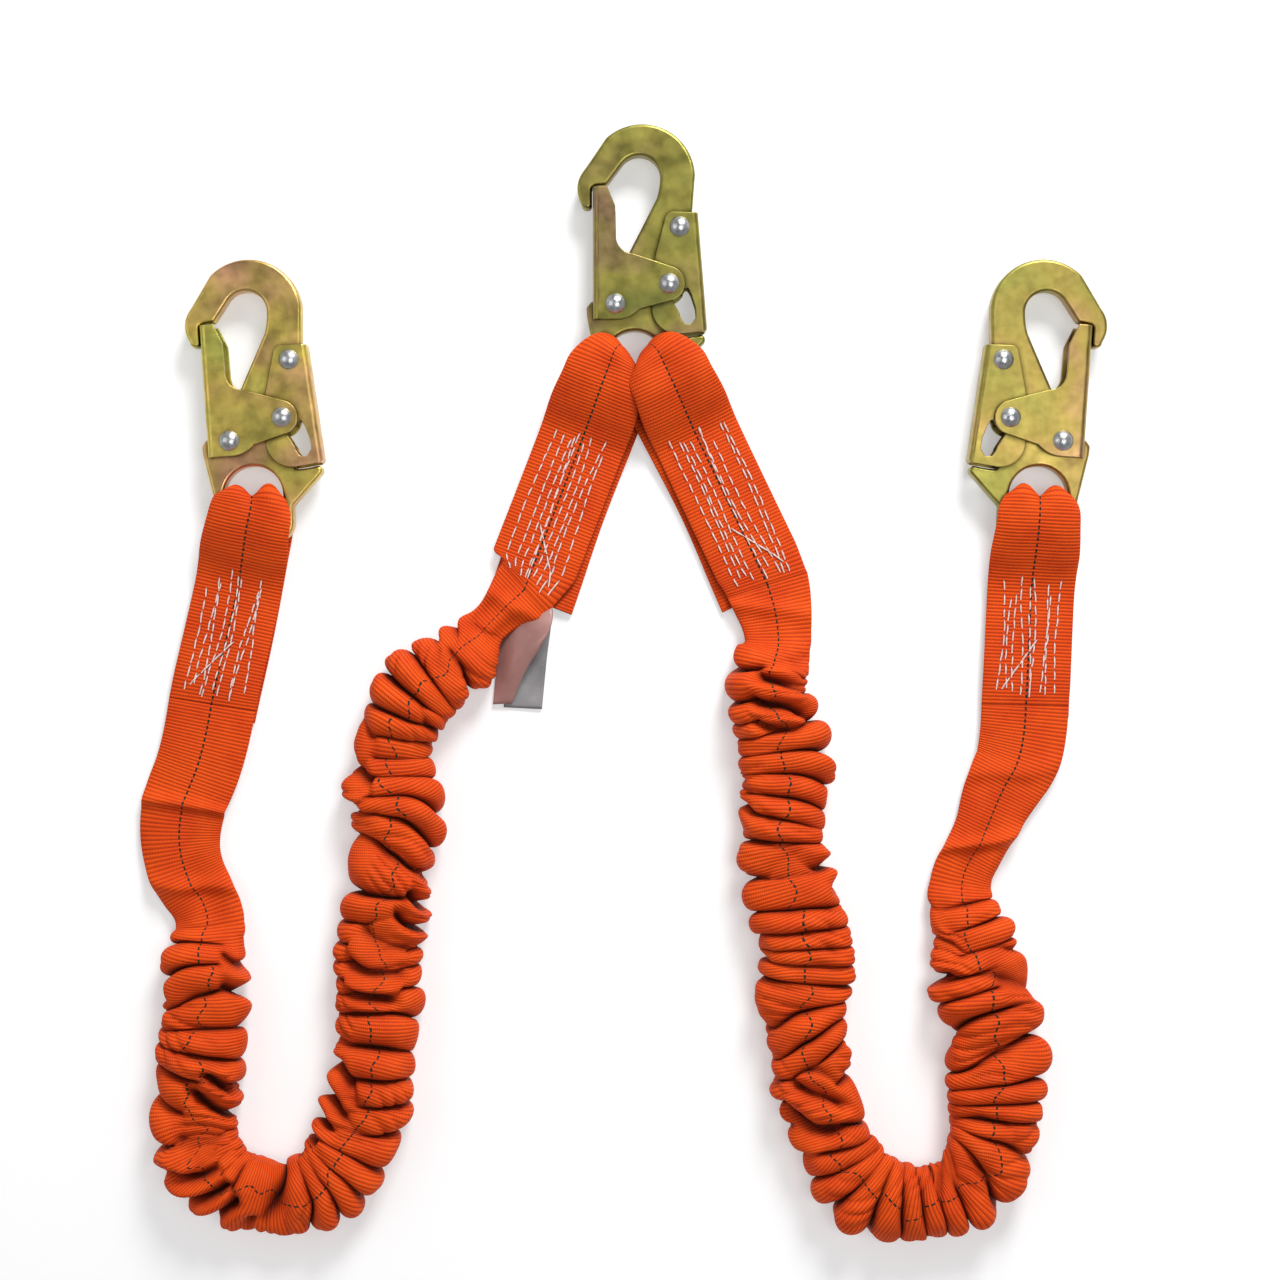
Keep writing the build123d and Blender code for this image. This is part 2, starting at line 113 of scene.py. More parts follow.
# The legs' routes, from the centre hook's sewn end to the outer hook's.
LEFT_ROUTE = [
    (-.061, -.1272), (-.0755, -.1405), (-.0950, -.1630), (-.118, -.1822), (-.129, -.2082), (-.1225, -.242),
    (-.128, -.2745), (-.134, -.305), (-.1325, -.3385), (-.1365, -.370), (-.1455, -.4038), (-.1606, -.4246),
    (-.185, -.4325), (-.2094, -.4246), (-.2245, -.4038), (-.225, -.375), (-.2185, -.345), (-.221, -.315),
    (-.217, -.290), (-.2335, -.2665), (-.2345, -.2385), (-.222, -.210), (-.218, -.1847),
]
RIGHT_ROUTE = [
    (.061, -.1247), (.069, -.1497), (.060, -.173), (.0675, -.1997), (.070, -.227), (.066, -.2535),
    (.074, -.2815), (.081, -.3097), (.0765, -.3375), (.083, -.367), (.092, -.402), (.1083, -.427),
    (.133, -.4355), (.1577, -.4275), (.1725, -.4065), (.1745, -.380), (.1755, -.352), (.1695, -.325),
    (.160, -.299), (.156, -.273), (.169, -.251), (.178, -.228), (.190, -.208), (.1905, -.1852),
]
LEFT_GATHER, RIGHT_GATHER = (2, 17), (2, 18)   # first and last gathered points of each route
LEFT_SEED, RIGHT_SEED = 11, 42

# Half widths of the webbing at each point of the routes, in millimetres.
LEFT_HALVES = [
    19, 8.8, 15.5, 18.5, 18, 19, 17.5, 18, 17, 18, 18.5, 17.5,
    16, 17, 17.5, 18.5, 17.5, 18.5, 17, 19, 21, 21.5, 22,
]
RIGHT_HALVES = [
    22, 16, 18, 17.5, 20, 18, 20.5, 20.5, 17.5, 16.5, 17, 17,
    16, 17, 19.5, 20.5, 20, 22, 18, 15, 14.5, 19, 21.5, 22,
]
# Soft folds across the flat stretches: distance from the nearer end, slant, height and half length.
LEFT_FOLDS = [
    (0.010, 0.3, 0.0022, 0.0045), (-0.052, 0.1, 0.0030, 0.0035), (-0.095, -0.5, 0.0030, 0.0050),
]
RIGHT_FOLDS = [
    (0.012, -0.35, 0.0022, 0.0050), (-0.035, 0.5, 0.0016, 0.0060), (-0.074, 0.7, 0.0035, 0.0045),
]

# How a sewn end lies at its hook, in the hook's frame: where its top reaches the eye; x, y, half width,
# bearing and crease of the fold at the top of its loop; how far its front is lifted over the bar; the cut
# end's shift; and the back layer's height. The right leg's upper end lies over the left leg's.
UPPER_ENDS = {
    "left": {
        "top": (-0.0120, -0.002), "fold": (-0.0080, 0.0056, 0.0078, 40, 0.0003), "lift": 0.0,
        "shift": (0.005, 0.0), "back_z": BACK_Z,
    },
    "right": {
        "top": (0.0142, -0.002), "fold": (0.0080, 0.0056, 0.0078, 140, 0.0003), "lift": 0.0022,
        "shift": (-0.005, 0.0), "back_z": 0.0052,
    },
}
LOWER_END = {
    "top": (0.0, -0.0045), "fold": (0.0, 0.0030, 0.0130, 90, 0.0088), "lift": 0.0,
    "shift": (0.001, 0.0), "back_z": BACK_Z,
}
SEAMS = {"upper": (1, 50), "lower": (-1, 57)}   # hand of a seam's slanting row, and what its seed adds

# Gold, olive and blush of each hook's plating. The outer hooks share one plating; their brightness is partly
# painted light: the left hook's colours are painted brighter and the right hook's darker, to make up for how
# the lamps' reflections fall on them.
TINTS = {
    "center": ((0.34, 0.30, 0.07), (0.21, 0.21, 0.055), (0.31, 0.20, 0.11)),
    "left": ((0.66, 0.50, 0.12), (0.52, 0.50, 0.11), (0.68, 0.38, 0.20)),
    "right": ((0.43, 0.32, 0.085), (0.34, 0.31, 0.075), (0.49, 0.28, 0.15)),
}

VIEW_CENTRE = (-0.003, -0.15225)
VIEW_WIDTH = 0.640                  # at the height VIEW_Z
VIEW_Z = 0.01
CAMERA_HEIGHT = 1.07
SENSOR = 36.0                       # millimetres
LIGHT_TARGET = (0, -0.15, 0)
FLOOR_SIZE = 12


# ---------------------------------------------------------------- camera and light
def build_camera():
    data = bpy.data.cameras.new("camera")
    data.sensor_width = SENSOR
    data.lens = SENSOR * (CAMERA_HEIGHT - VIEW_Z) / VIEW_WIDTH
    camera = bpy.data.objects.new("camera", data)
    camera.location = (*VIEW_CENTRE, CAMERA_HEIGHT)
    bpy.context.scene.collection.objects.link(camera)
    bpy.context.scene.camera = camera


def area_light(name, place, size, power):
    data = bpy.data.lights.new(name, "AREA")
    data.shape = "SQUARE"
    data.size = size
    data.energy = power
    light = bpy.data.objects.new(name, data)
    light.location = place
    aim = Vector(LIGHT_TARGET) - Vector(place)
    light.rotation_euler = aim.to_track_quat("-Z", "Y").to_euler()
    bpy.context.scene.collection.objects.link(light)


def build_lights():
    area_light("key_light", (0.45, 1.25, 1.05), 0.6, 34)
    area_light("fill_light", (-1.1, 0.1, 1.2), 1.0, 4)
    area_light("top_light", (0.5, -0.3, 1.9), 1.0, 11)


def build_world():
    """White surroundings that turn grey overhead."""
    world = bpy.data.worlds.new("studio")
    world.use_nodes = True
    tree = world.node_tree
    background = tree.nodes["Background"]
    place = tree.nodes.new("ShaderNodeTexCoord")
    split = tree.nodes.new("ShaderNodeSeparateXYZ")
    ramp = tree.nodes.new("ShaderNodeValToRGB")
    tree.links.new(place.outputs["Generated"], split.inputs[0])
    tree.links.new(split.outputs["Z"], ramp.inputs[0])
    tree.links.new(ramp.outputs["Color"], background.inputs["Color"])
    level, overhead = ramp.color_ramp.elements
    level.position = 0.15
    level.color = (1.0, 1.0, 1.0, 1)
    overhead.position = 0.95
    overhead.color = (0.30, 0.31, 0.33, 1)
    background.inputs["Strength"].default_value = 0.42
    bpy.context.scene.world = world
    bpy.context.scene.view_settings.view_transform = "Standard"


def build_floor():
    s = Shader("floor_paper", Roughness=0.9)
    s.colour(s.ramp(s.noise(s.place(), 4.0), (0.3, 0.66), (0.7, 0.68)))
    s.surface.inputs["Emission Color"].default_value = (1, 1, 1, 1)
    s.surface.inputs["Emission Strength"].default_value = 0.36
    bpy.ops.mesh.primitive_plane_add(size=FLOOR_SIZE)
    floor = bpy.context.object
    floor.name = "floor"
    floor.data.materials.append(s.material)


# ---------------------------------------------------------------- material helpers
class Shader:
    """A material with short names for its nodes."""

    def __init__(self, name, **sockets):
        self.material = bpy.data.materials.new(name)
        self.material.use_nodes = True
        self.tree = self.material.node_tree
        self.surface = self.tree.nodes["Principled BSDF"]
        for key, value in sockets.items():
            self.surface.inputs[key.replace("_", " ")].default_value = value

    def node(self, kind, settings=(), **inputs):
        """A new node; its inputs are given by number, as _0 and so on."""
        made = self.tree.nodes.new(kind)
        for key, value in dict(settings).items():
            setattr(made, key, value)
        for key, value in inputs.items():
            self.feed(made.inputs[int(key[1:])], value)
        return made

    def feed(self, socket, value):
        if isinstance(value, bpy.types.NodeSocket):
            self.tree.links.new(value, socket)
        else:
            socket.default_value = value

    def math(self, operation, a, b=0.0):
        return self.node("ShaderNodeMath", {"operation": operation}, _0=a, _1=b).outputs[0]

    def wave(self, turn):
        """A sine wave between 0 and 1."""
        made = self.math("MULTIPLY_ADD", self.math("SINE", turn), 0.5)
        made.node.inputs[2].default_value = 0.5
        return made

    def noise(self, where, scale, detail=2.0, roughness=0.5):
        made = self.node("ShaderNodeTexNoise", (), _0=where)
        made.inputs["Scale"].default_value = scale
        made.inputs["Detail"].default_value = detail
        made.inputs["Roughness"].default_value = roughness
        return made.outputs["Fac"]

    def ramp(self, value, *stops):
        """A colour that goes from stop to stop; a stop's colour may be one number, for a grey."""
        made = self.node("ShaderNodeValToRGB", (), _0=value)
        elements = made.color_ramp.elements
        while len(elements) < len(stops):
            elements.new(0.5)
        for element, (place, colour) in zip(elements, stops):
            element.position = place
            element.color = (*colour, 1) if isinstance(colour, tuple) else (colour, colour, colour, 1)
        return made.outputs["Color"]

    def mix(self, share, a, b, blend="MIX"):
        made = self.node("ShaderNodeMix", {"data_type": "RGBA", "blend_type": blend})
        self.feed(made.inputs["Factor"], share)
        self.feed(made.inputs[6], a)
        self.feed(made.inputs[7], b)
        return made.outputs[2]

    def times(self, colour, *others):
        """Colours multiplied together."""
        for other in others:
            colour = self.mix(1.0, colour, other, "MULTIPLY")
        return colour

    def bump(self, height, distance, strength, edge=0.0):
        """Raises the surface by a height; edge is the radius by which its corners look rounded."""
        made = self.node("ShaderNodeBump")
        if edge:
            rounded = self.node("ShaderNodeBevel", {"samples": 6})
            rounded.inputs["Radius"].default_value = edge
            self.feed(made.inputs["Normal"], rounded.outputs["Normal"])
        made.inputs["Strength"].default_value = strength
        made.inputs["Distance"].default_value = distance
        self.feed(made.inputs["Height"], height)
        self.feed(self.surface.inputs["Normal"], made.outputs["Normal"])

    def colour(self, value):
        self.feed(self.surface.inputs["Base Color"], value)

    def rough(self, value):
        self.feed(self.surface.inputs["Roughness"], value)

    def openness(self, reach):
        """How open the surface is within a reach: low in corners and where parts meet."""
        made = self.node("ShaderNodeAmbientOcclusion", {"samples": 8})
        made.inputs["Distance"].default_value = reach
        return made.outputs["AO"]

    def place(self):
        return self.node("ShaderNodeNewGeometry").outputs["Position"]

    def uv(self):
        split = self.node("ShaderNodeSeparateXYZ", (), _0=self.node("ShaderNodeUVMap").outputs["UV"])
        return split.outputs[0], split.outputs[1]


# ---------------------------------------------------------------- materials
def plated_steel(name, gold, olive, blush, seed, rough):
    """Yellow passivated zinc: gold that drifts to olive and to pink, with a fine worked surface, and painted
    shade in corners and where parts meet.
    """
    s = Shader(name, Metallic=1.0)
    where = s.node("ShaderNodeMapping", (), _0=s.place(), _1=(seed, seed * 2, 0)).outputs[0]
    tint = s.ramp(s.noise(where, 26.0, roughness=0.45), (0.30, olive), (0.50, gold), (0.72, blush))
    speck = s.ramp(s.noise(where, 210.0), (0.33, (0.80, 0.80, 0.78)), (0.62, 1.0))
    # painted shade: the colour darkens in corners, next to steps and where parts meet
    painted_shade = s.ramp(s.openness(0.0028), (0.42, (0.10, 0.08, 0.06)), (0.95, 1.0))
    s.colour(s.times(tint, speck, painted_shade))
    s.rough(s.ramp(s.noise(where, 90.0), (0.3, rough - 0.08), (0.7, rough + 0.12)))
    s.bump(s.noise(where, 520.0), 0.000014, 0.6, edge=0.0007)
    return s.material


def rivet_steel():
    s = Shader("rivet_steel", Metallic=1.0)
    cloud = s.noise(s.place(), 420.0, 4.0)
    metal = s.ramp(cloud, (0.3, (0.42, 0.43, 0.44)), (0.7, (0.68, 0.69, 0.70)))
    # painted shade: the rivet's colour darkens where it meets the plate and in corners
    painted_shade = s.ramp(s.openness(0.003), (0.35, (0.06, 0.05, 0.04)), (0.80, 1.0))
    s.colour(s.times(metal, painted_shade))
    s.rough(s.ramp(s.noise(s.place(), 700.0), (0.3, 0.24), (0.7, 0.38)))
    s.bump(s.noise(s.place(), 500.0), 0.00002, 0.5)
    return s.material


def spring_steel():
    s = Shader("spring_steel", Metallic=1.0)
    s.colour(s.ramp(s.noise(s.place(), 300.0), (0.3, (0.28, 0.28, 0.29)), (0.7, 0.5)))
    s.rough(s.ramp(s.noise(s.place(), 900.0), (0.3, 0.3), (0.7, 0.45)))
    return s.material


def webbing():
    """Ribbed orange tubular webbing with a dark tracer line down the middle of its front, and painted shade
    in its grooves, creases and folds.
    """
    s = Shader("webbing", Roughness=0.72, Sheen_Weight=0.05, Sheen_Roughness=0.4, Specular_IOR_Level=0.18)
    s.surface.inputs["Sheen Tint"].default_value = (1.0, 0.45, 0.15, 1)
    along, across = s.uv()
    rib_turn = s.math("MULTIPLY", along, 2 * math.pi / RIB)
    yarn_turn = s.math("MULTIPLY", across, 2 * math.pi / YARN)
    rib = s.wave(rib_turn)
    yarn = s.wave(s.math("ADD", yarn_turn, s.math("MULTIPLY", rib_turn, 0.5)))
    body = s.ramp(s.noise(s.place(), 60.0, 3.0), (0.3, (0.72, 0.062, 0.002)), (0.7, (0.86, 0.095, 0.004)))
    # painted shade: darker in the grooves between ribs and between yarns
    painted_groove_shade = s.ramp(rib, (0.0, (0.58, 0.42, 0.40)), (0.42, 1.0))
    painted_yarn_shade = s.ramp(yarn, (0.0, (0.80, 0.76, 0.74)), (0.5, 1.0))
    # painted shade: darker where a crease is deep and where folds close in
    hollow = s.node("ShaderNodeAttribute", {"attribute_name": "hollow"}).outputs["Fac"]
    shade = s.ramp(hollow, (0.0, 1.0), (0.9, (0.30, 0.20, 0.20)))
    painted_fold_shade = s.ramp(s.openness(0.007), (0.28, (0.32, 0.20, 0.17)), (0.93, 1.0))
    cloth = s.times(body, painted_groove_shade, painted_yarn_shade, shade, painted_fold_shade)
    dash = s.math("FRACT", s.math("MULTIPLY", along, 1 / TRACER_PITCH))
    on = s.math("LESS_THAN", dash, TRACER_SHARE)
    near = s.math("LESS_THAN", s.math("ABSOLUTE", across), TRACER_HALF)
    s.colour(s.mix(s.math("MULTIPLY", on, near), cloth, (0.012, 0.02, 0.012, 1)))
    s.bump(s.math("ADD", rib, s.math("MULTIPLY", yarn, 0.35)), 0.00028, 0.8)
    return s.material


def thread():
    s = Shader("thread", Roughness=0.6, Sheen_Weight=0.3)
    s.colour(s.ramp(s.noise(s.place(), 900.0), (0.3, (0.62, 0.40, 0.34)), (0.7, (0.86, 0.70, 0.64))))
    s.bump(s.noise(s.place(), 3000.0), 0.0001, 0.6)
    return s.material


def core_webbing():
    s = Shader("core_webbing", Roughness=0.8)
    s.colour(s.ramp(s.noise(s.place(), 500.0), (0.3, (0.6, 0.57, 0.5)), (0.7, (0.8, 0.77, 0.7))))
    s.bump(s.noise(s.place(), 900.0), 0.0002, 0.7)
    return s.material


def elastic():
    s = Shader("elastic", Roughness=0.75)
    s.colour(s.ramp(s.noise(s.place(), 700.0), (0.3, 0.03), (0.7, 0.09)))
    s.bump(s.noise(s.place(), 1200.0), 0.0002, 0.7)
    return s.material


def label_vinyl():
    s = Shader("label_vinyl", Roughness=0.38, Coat_Weight=0.25, Alpha=0.9)
    cloud = s.noise(s.place(), 45.0, 3.0)
    s.colour(s.ramp(cloud, (0.3, (0.24, 0.105, 0.09)), (0.7, (0.40, 0.20, 0.175))))
    s.bump(s.noise(s.place(), 120.0, 3.0), 0.0005, 0.4)
    return s.material


def label_paper():
    s = Shader("label_paper", Roughness=0.45)
    cloud = s.noise(s.place(), 70.0, 3.0)
    s.colour(s.ramp(cloud, (0.3, (0.16, 0.15, 0.155)), (0.7, (0.29, 0.28, 0.285))))
    s.bump(s.noise(s.place(), 160.0, 3.0), 0.0004, 0.4)
    return s.material


# ---------------------------------------------------------------- mesh helpers
def add_piece(name, mesh, material):
    """A new object in the scene for a mesh, all in one material."""
    mesh.materials.clear()
    mesh.materials.append(material)
    piece = bpy.data.objects.new(name, mesh)
    bpy.context.scene.collection.objects.link(piece)
    return piece


def grid_mesh(name, rows, material, uv=None):
    """A closed tube through rows of points, each row a ring, with a cap at both ends."""
    count, width = rows.shape[:2]
    i, j = np.meshgrid(np.arange(count - 1), np.arange(width), indexing="ij")
    k = (j + 1) % width
    quads = np.stack([i * width + j, (i + 1) * width + j, (i + 1) * width + k, i * width + k], -1)
    faces = quads.reshape(-1, 4).tolist()
    faces.append(list(range(width)))
    faces.append([(count - 1) * width + n for n in reversed(range(width))])
    mesh = bpy.data.meshes.new(name)
    mesh.from_pydata(rows.reshape(-1, 3).tolist(), [], faces)
    if uv is not None:
        corner = np.stack([uv[:-1, :-1], uv[1:, :-1], uv[1:, 1:], uv[:-1, 1:]], 2)
        flat = np.zeros((len(mesh.loops), 2))
        flat[: corner.size // 2] = corner.reshape(-1, 2)
        mesh.uv_layers.new(name="UVMap").data.foreach_set("uv", flat.ravel())
    mesh.polygons.foreach_set("use_smooth", [len(p.vertices) == 4 for p in mesh.polygons])
    mesh.update()
    return add_piece(name, mesh, material)


def smooth_step(value, low, high):
    t = np.clip((value - low) / (high - low), 0, 1)
    return t * t * (3 - 2 * t)


class Waves:
    """Smooth seeded noise of one or two variables, about -1 to 1."""

    def __init__(self, seed, count=7, low=0.6, high=2.2):
        rng = np.random.default_rng(seed)
        self.k = rng.uniform(low, high, (count, 2)) * rng.choice([-1, 1], (count, 2))
        self.p = rng.uniform(0, 2 * math.pi, count)

    def at(self, x, y=0.0):
        total = sum(np.sin(kx * x + ky * y + p) for (kx, ky), p in zip(self.k, self.p))
        return total / math.sqrt(len(self.p)) / 1.1


def lengths(points):
    steps = np.linalg.norm(np.diff(points, axis=0), axis=1)
    return np.concatenate([[0], np.cumsum(steps)])


def section(count=AROUND, power=2.6, flat=0.35):
    """A closed flattened ring: across and up from -1 to 1, and its angle, evenly from the back's middle."""
    turn = np.linspace(0, 2 * math.pi, 4001) - math.pi / 2
    across = -np.sign(np.cos(turn)) * np.abs(np.cos(turn)) ** (2 / power)
    up = np.sign(np.sin(turn)) * np.abs(np.sin(turn)) ** (2 / power)
    run = lengths(np.column_stack([across, up * flat]))
    even = np.linspace(0, run[-1], count, endpoint=False)
    return tuple(np.interp(even, run, values) for values in (across, up, turn))


def across_metres():
    """Distance over the cloth from the front's middle, for each point of a section and the closing one."""
    across, up, _ = section()
    ring = np.column_stack([across * HALF_WIDE, up * HALF_HIGH])
    run = lengths(np.vstack([ring, ring[:1]]))
    return run - run[FRONT_MIDDLE]


def flat_frame(points):
    """Level unit vectors along a line and to its left, at each of its points."""
    tangent = np.gradient(points[:, :2], axis=0)
    tangent /= np.linalg.norm(tangent, axis=1)[:, None]
    level = np.zeros(len(tangent))
    return np.column_stack([tangent, level]), np.column_stack([-tangent[:, 1], tangent[:, 0], level])


def evened(values, count):
    """Each value's mean over a count of its neighbours."""
    return np.convolve(np.pad(values, count // 2, mode="edge"), np.full(count, 1 / count), "valid")


def blurred(table, count, padding):
    """Each row of a table smoothed by a bell-shaped window."""
    bell = np.hanning(count)
    bell /= bell.sum()
    padded = np.pad(table, ((0, 0), (count // 2, count // 2)), mode=padding)
    return np.stack([np.convolve(row, bell, "valid") for row in padded])


# ---------------------------------------------------------------- hooks' places
def centre_of(node):
    low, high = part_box(node)
    return (np.array(low) + np.array(high)) / 2


def hook_frame(prefix):
    """(origin at the eye's centre, turn) of a hook, from its two rivets."""
    rivet, lever = centre_of(f"{prefix}_gate_rivet"), centre_of(f"{prefix}_lever_rivet")
    own = np.array(GATE_PIVOT) * (FLIPS[prefix], 1)
    span = np.array(LEVER_PIVOT) * (FLIPS[prefix], 1) - own
    reach = (lever - rivet)[:2]
    turn = math.atan2(reach[1], reach[0]) - math.atan2(span[1], span[0])
    spin = np.array([[math.cos(turn), -math.sin(turn)], [math.sin(turn), math.cos(turn)]])
    return rivet[:2] - spin @ own, spin


# ---------------------------------------------------------------- webbing
def route_points(name, route, gather):
    """Points along the smooth centreline of a leg's route."""
    curve = bpy.data.curves.new(name, "CURVE")
    curve.dimensions = "3D"
    curve.resolution_u = 40
    spline = curve.splines.new("NURBS")
    spline.points.add(len(route) - 1)
    for index, (point, (x, y)) in enumerate(zip(spline.points, route)):
        height = GATHER_Z if gather[0] <= index <= gather[1] else FLAT_Z
        point.co = (x, y, height, 1)
    spline.order_u = 3
    spline.use_endpoint_u = True
    carrier = bpy.data.objects.new(name, curve)
    bpy.context.scene.collection.objects.link(carrier)
    bpy.context.view_layer.update()
    line = bpy.data.meshes.new_from_object(carrier)
    points = np.array([v.co for v in line.vertices])
    bpy.data.objects.remove(carrier)
    return points


def ruffles(s, v, g, seed):
    """Gathers at distances s along a leg and turns v round it, where g is its share of gathering.

    Gives how high each place stands, from 0 to 1, how deep the gathers are there, and their pull along it."""
    lateral = 0.9 * np.cos(v) + 0.35 * np.sin(v)
    slant = 0.5 * Waves(seed + 2, 9, 0.4, 1.2).at(s * 60, lateral)
    phase = s / RUFFLE + slant + 0.30 * Waves(seed + 3).at(s * 60)
    straight = np.abs(np.sin(math.pi * phase)) ** 0.8
    oblique_phase = s / (1.25 * RUFFLE) + 0.62 * np.cos(v) + 0.3 * Waves(seed + 4).at(s * 50, lateral)
    oblique = np.abs(np.sin(math.pi * oblique_phase)) ** 0.9
    patch = smooth_step(Waves(seed + 5).at(s * 42, 1.1 * np.cos(v)), 0.15, 0.75)
    crest = straight * (1 - patch) + oblique * patch
    depth = 0.92 + 0.45 * Waves(seed + 6).at(s * 70, 1.5 * np.cos(v))
    pinch = -PINCH * np.sin(2 * math.pi * phase) * g * (1 - patch)
    lean = LEAN * Waves(seed + 8).at(s * 60, np.sin(v)) * (crest - 0.5) * g
    return crest, depth, pinch + lean


def wrinkles(s, v, seed):
    """Height of the fine wrinkles, which lie across the gathers in patches."""
    phase = s / WRINKLE + 0.9 * Waves(seed + 11).at(s * 55, 1.3 * np.cos(v)) + 0.6 * np.cos(v)
    crest = np.abs(np.sin(math.pi * phase)) ** 0.6 - 0.7
    patch = smooth_step(Waves(seed + 12).at(s * 60, 1.7 * np.cos(v)), -0.15, 0.55)
    return WRINKLE_DEPTH * crest * patch


def leg_rows(points, halves, folds, gather_from, gather_to, seed):
    """Rings of a leg's outer webbing, flat, gathered into ruffles, and flat again.

    Gives the rings, their cloth coordinates and how deep in a crease each of their points is."""
    run = lengths(points)
    tangent, side = flat_frame(points)
    gather = smooth_step(run, gather_from - GATHER_EASE, gather_from + GATHER_EASE)
    gather *= 1 - smooth_step(run, gather_to - GATHER_EASE, gather_to + GATHER_EASE)
    across, rise, turn = section()
    s, v, g = run[:, None], turn[None, :], gather[:, None]
    half_wide = halves[:, None] + 0.0008 * g * Waves(seed).at(s * 70)
    neck = np.clip((NECK_WIDE - half_wide) / 0.009, 0, 1) * (1 - g)
    half_high = HALF_HIGH + NECK_HIGH * neck + GATHER_HIGH * g + 0.0010 * g * Waves(seed + 1).at(s * 60)
    crest, depth, pull = ruffles(s, v, g, seed)
    heading = np.unwrap(np.arctan2(tangent[:, 1], tangent[:, 0]))
    bend = evened(np.gradient(heading, run), 31)
    crowding = np.clip(1.1 - 1.5 * bend[:, None] * half_wide * across[None], 0.25, 1.0)
    swell = (crest - 0.5) * RUFFLE_DEPTH * np.clip(depth, 0.3, 1.45) * crowding * g
    dimple = Waves(seed + 7, 9, 0.8, 2.0).at(s * 200, 2.2 * v) * DIMPLE * g
    out = np.maximum(swell + dimple + wrinkles(s, v, seed) * g, -CREASE_LIMIT)
    ripple = neck * 0.0013 * np.sin(5.2 * across[None] + 0.8 * np.sin(s * 55)) * (rise[None] > 0)
    for place, slope, height, spread in folds:
        start = place if place > 0 else run[-1] + place
        ahead = (s - start + slope * half_wide * across[None]) / spread
        bell = np.exp(-(ahead**2))
        ripple += height * (1 - g) * bell * np.where(ahead > 0, 1, bell)
    rows = points[:, None, :] + side[:, None, :] * ((half_wide + out) * across[None])[..., None]
    rows += UP * ((half_high + out) * rise[None] + ripple)[..., None]
    rows += tangent[:, None, :] * pull[..., None]
    low = rows[..., 2]
    pressed = FLOOR_GAP + (SOFT_FLOOR - FLOOR_GAP) * np.exp((low - SOFT_FLOOR) / SOFT_FLOOR)
    rows[..., 2] = np.where(low < SOFT_FLOOR, pressed, low)
    hollow = np.clip(1 - crest * 1.6, 0, 1) * np.clip(depth, 0.3, 1.2) * g
    return rows, cloth_uv(rows, gather, seed), hollow


def cloth_uv(rows, gather, seed):
    """Distances over the cloth, along and across, so that its ribs follow the folds."""
    steps = np.linalg.norm(np.diff(rows, axis=0), axis=2)
    along = np.vstack([np.zeros(AROUND), np.cumsum(steps, axis=0)])
    mean = along[:, AROUND // 4 : 3 * AROUND // 4].mean(axis=1, keepdims=True)
    drift = along - mean
    tilt = drift - blurred(drift.T, 61, "edge").T
    along = mean + 0.9 * blurred(tilt, 29, "wrap")
    along = np.column_stack([along, along[:, :1]])
    wander = Waves(seed + 9, 9, 0.7, 2.4).at(mean * 70) + 0.5 * Waves(seed + 10).at(mean * 210)
    across = across_metres()[None] + 0.0042 * wander * gather[:, None]
    return np.stack([along, across], 2)


def strap_uv(rows, begin):
    """Distances over a strap's cloth; the ones along it count on from begin, at its first row."""
    along = begin + lengths(rows[:, FRONT_MIDDLE])
    return np.stack(np.meshgrid(along, across_metres(), indexing="ij"), 2)


def spline_through(keys, count):
    """Smooth rows through given keys, by a Catmull-Rom curve, evenly by the travel of x, y and z."""
    keys = np.asarray(keys, float)
    padded = np.vstack([2 * keys[0] - keys[1], keys, 2 * keys[-1] - keys[-2]])
    t = np.linspace(0, 1, 60, endpoint=False)[:, None]
    fine = []
    for n in range(1, len(padded) - 2):
        a, b, c, d = padded[n - 1 : n + 3]
        square = (2 * a - 5 * b + 4 * c - d) * t**2
        cube = (3 * b - a - 3 * c + d) * t**3
        fine.append(0.5 * (2 * b + (c - a) * t + square + cube))
    fine = np.vstack(fine + [keys[-1:]])
    run = lengths(fine[:, :3])
    even = np.linspace(0, run[-1], count)
    return np.column_stack([np.interp(even, run, column) for column in fine.T])


def lobed(across, lobe=0.58):
    """0 at the middle, 1 at each lobe and lower again at the edges."""
    away = np.abs(across)
    inner = 1 - ((lobe - away) / lobe) ** 2
    outer = 1 - 0.6 * ((away - lobe) / (1 - lobe)) ** 2
    return np.where(away < lobe, inner, outer)


def strap_rows(keys, origin, spin):
    """Rings of a flat tube through keys of x, y, z, bearing, half width, half thickness and crease."""
    table = spline_through(keys, STRAP_ROWS)
    place = table[:, :3].copy()
    place[:, :2] = place[:, :2] @ spin.T + origin
    bearing = np.radians(table[:, 3]) + math.atan2(spin[1, 0], spin[0, 0])
    side = np.column_stack([-np.sin(bearing), np.cos(bearing), np.zeros(len(bearing))])
    tangent = np.gradient(place, axis=0)
    tangent -= side * (tangent * side).sum(1)[:, None]
    tangent /= np.linalg.norm(tangent, axis=1)[:, None]
    up = np.cross(tangent, side)
    across, rise, _ = section()
    half_wide, half_high, crease = (table[:, n, None] for n in (4, 5, 6))
    offset = half_high * rise - crease * (1 - lobed(across))
    rows = place[:, None, :] + side[:, None, :] * (half_wide * across)[..., None]
    rows += up[:, None, :] * offset[..., None]
    rows[..., 2] = np.maximum(rows[..., 2], FLOOR_GAP)
    return rows


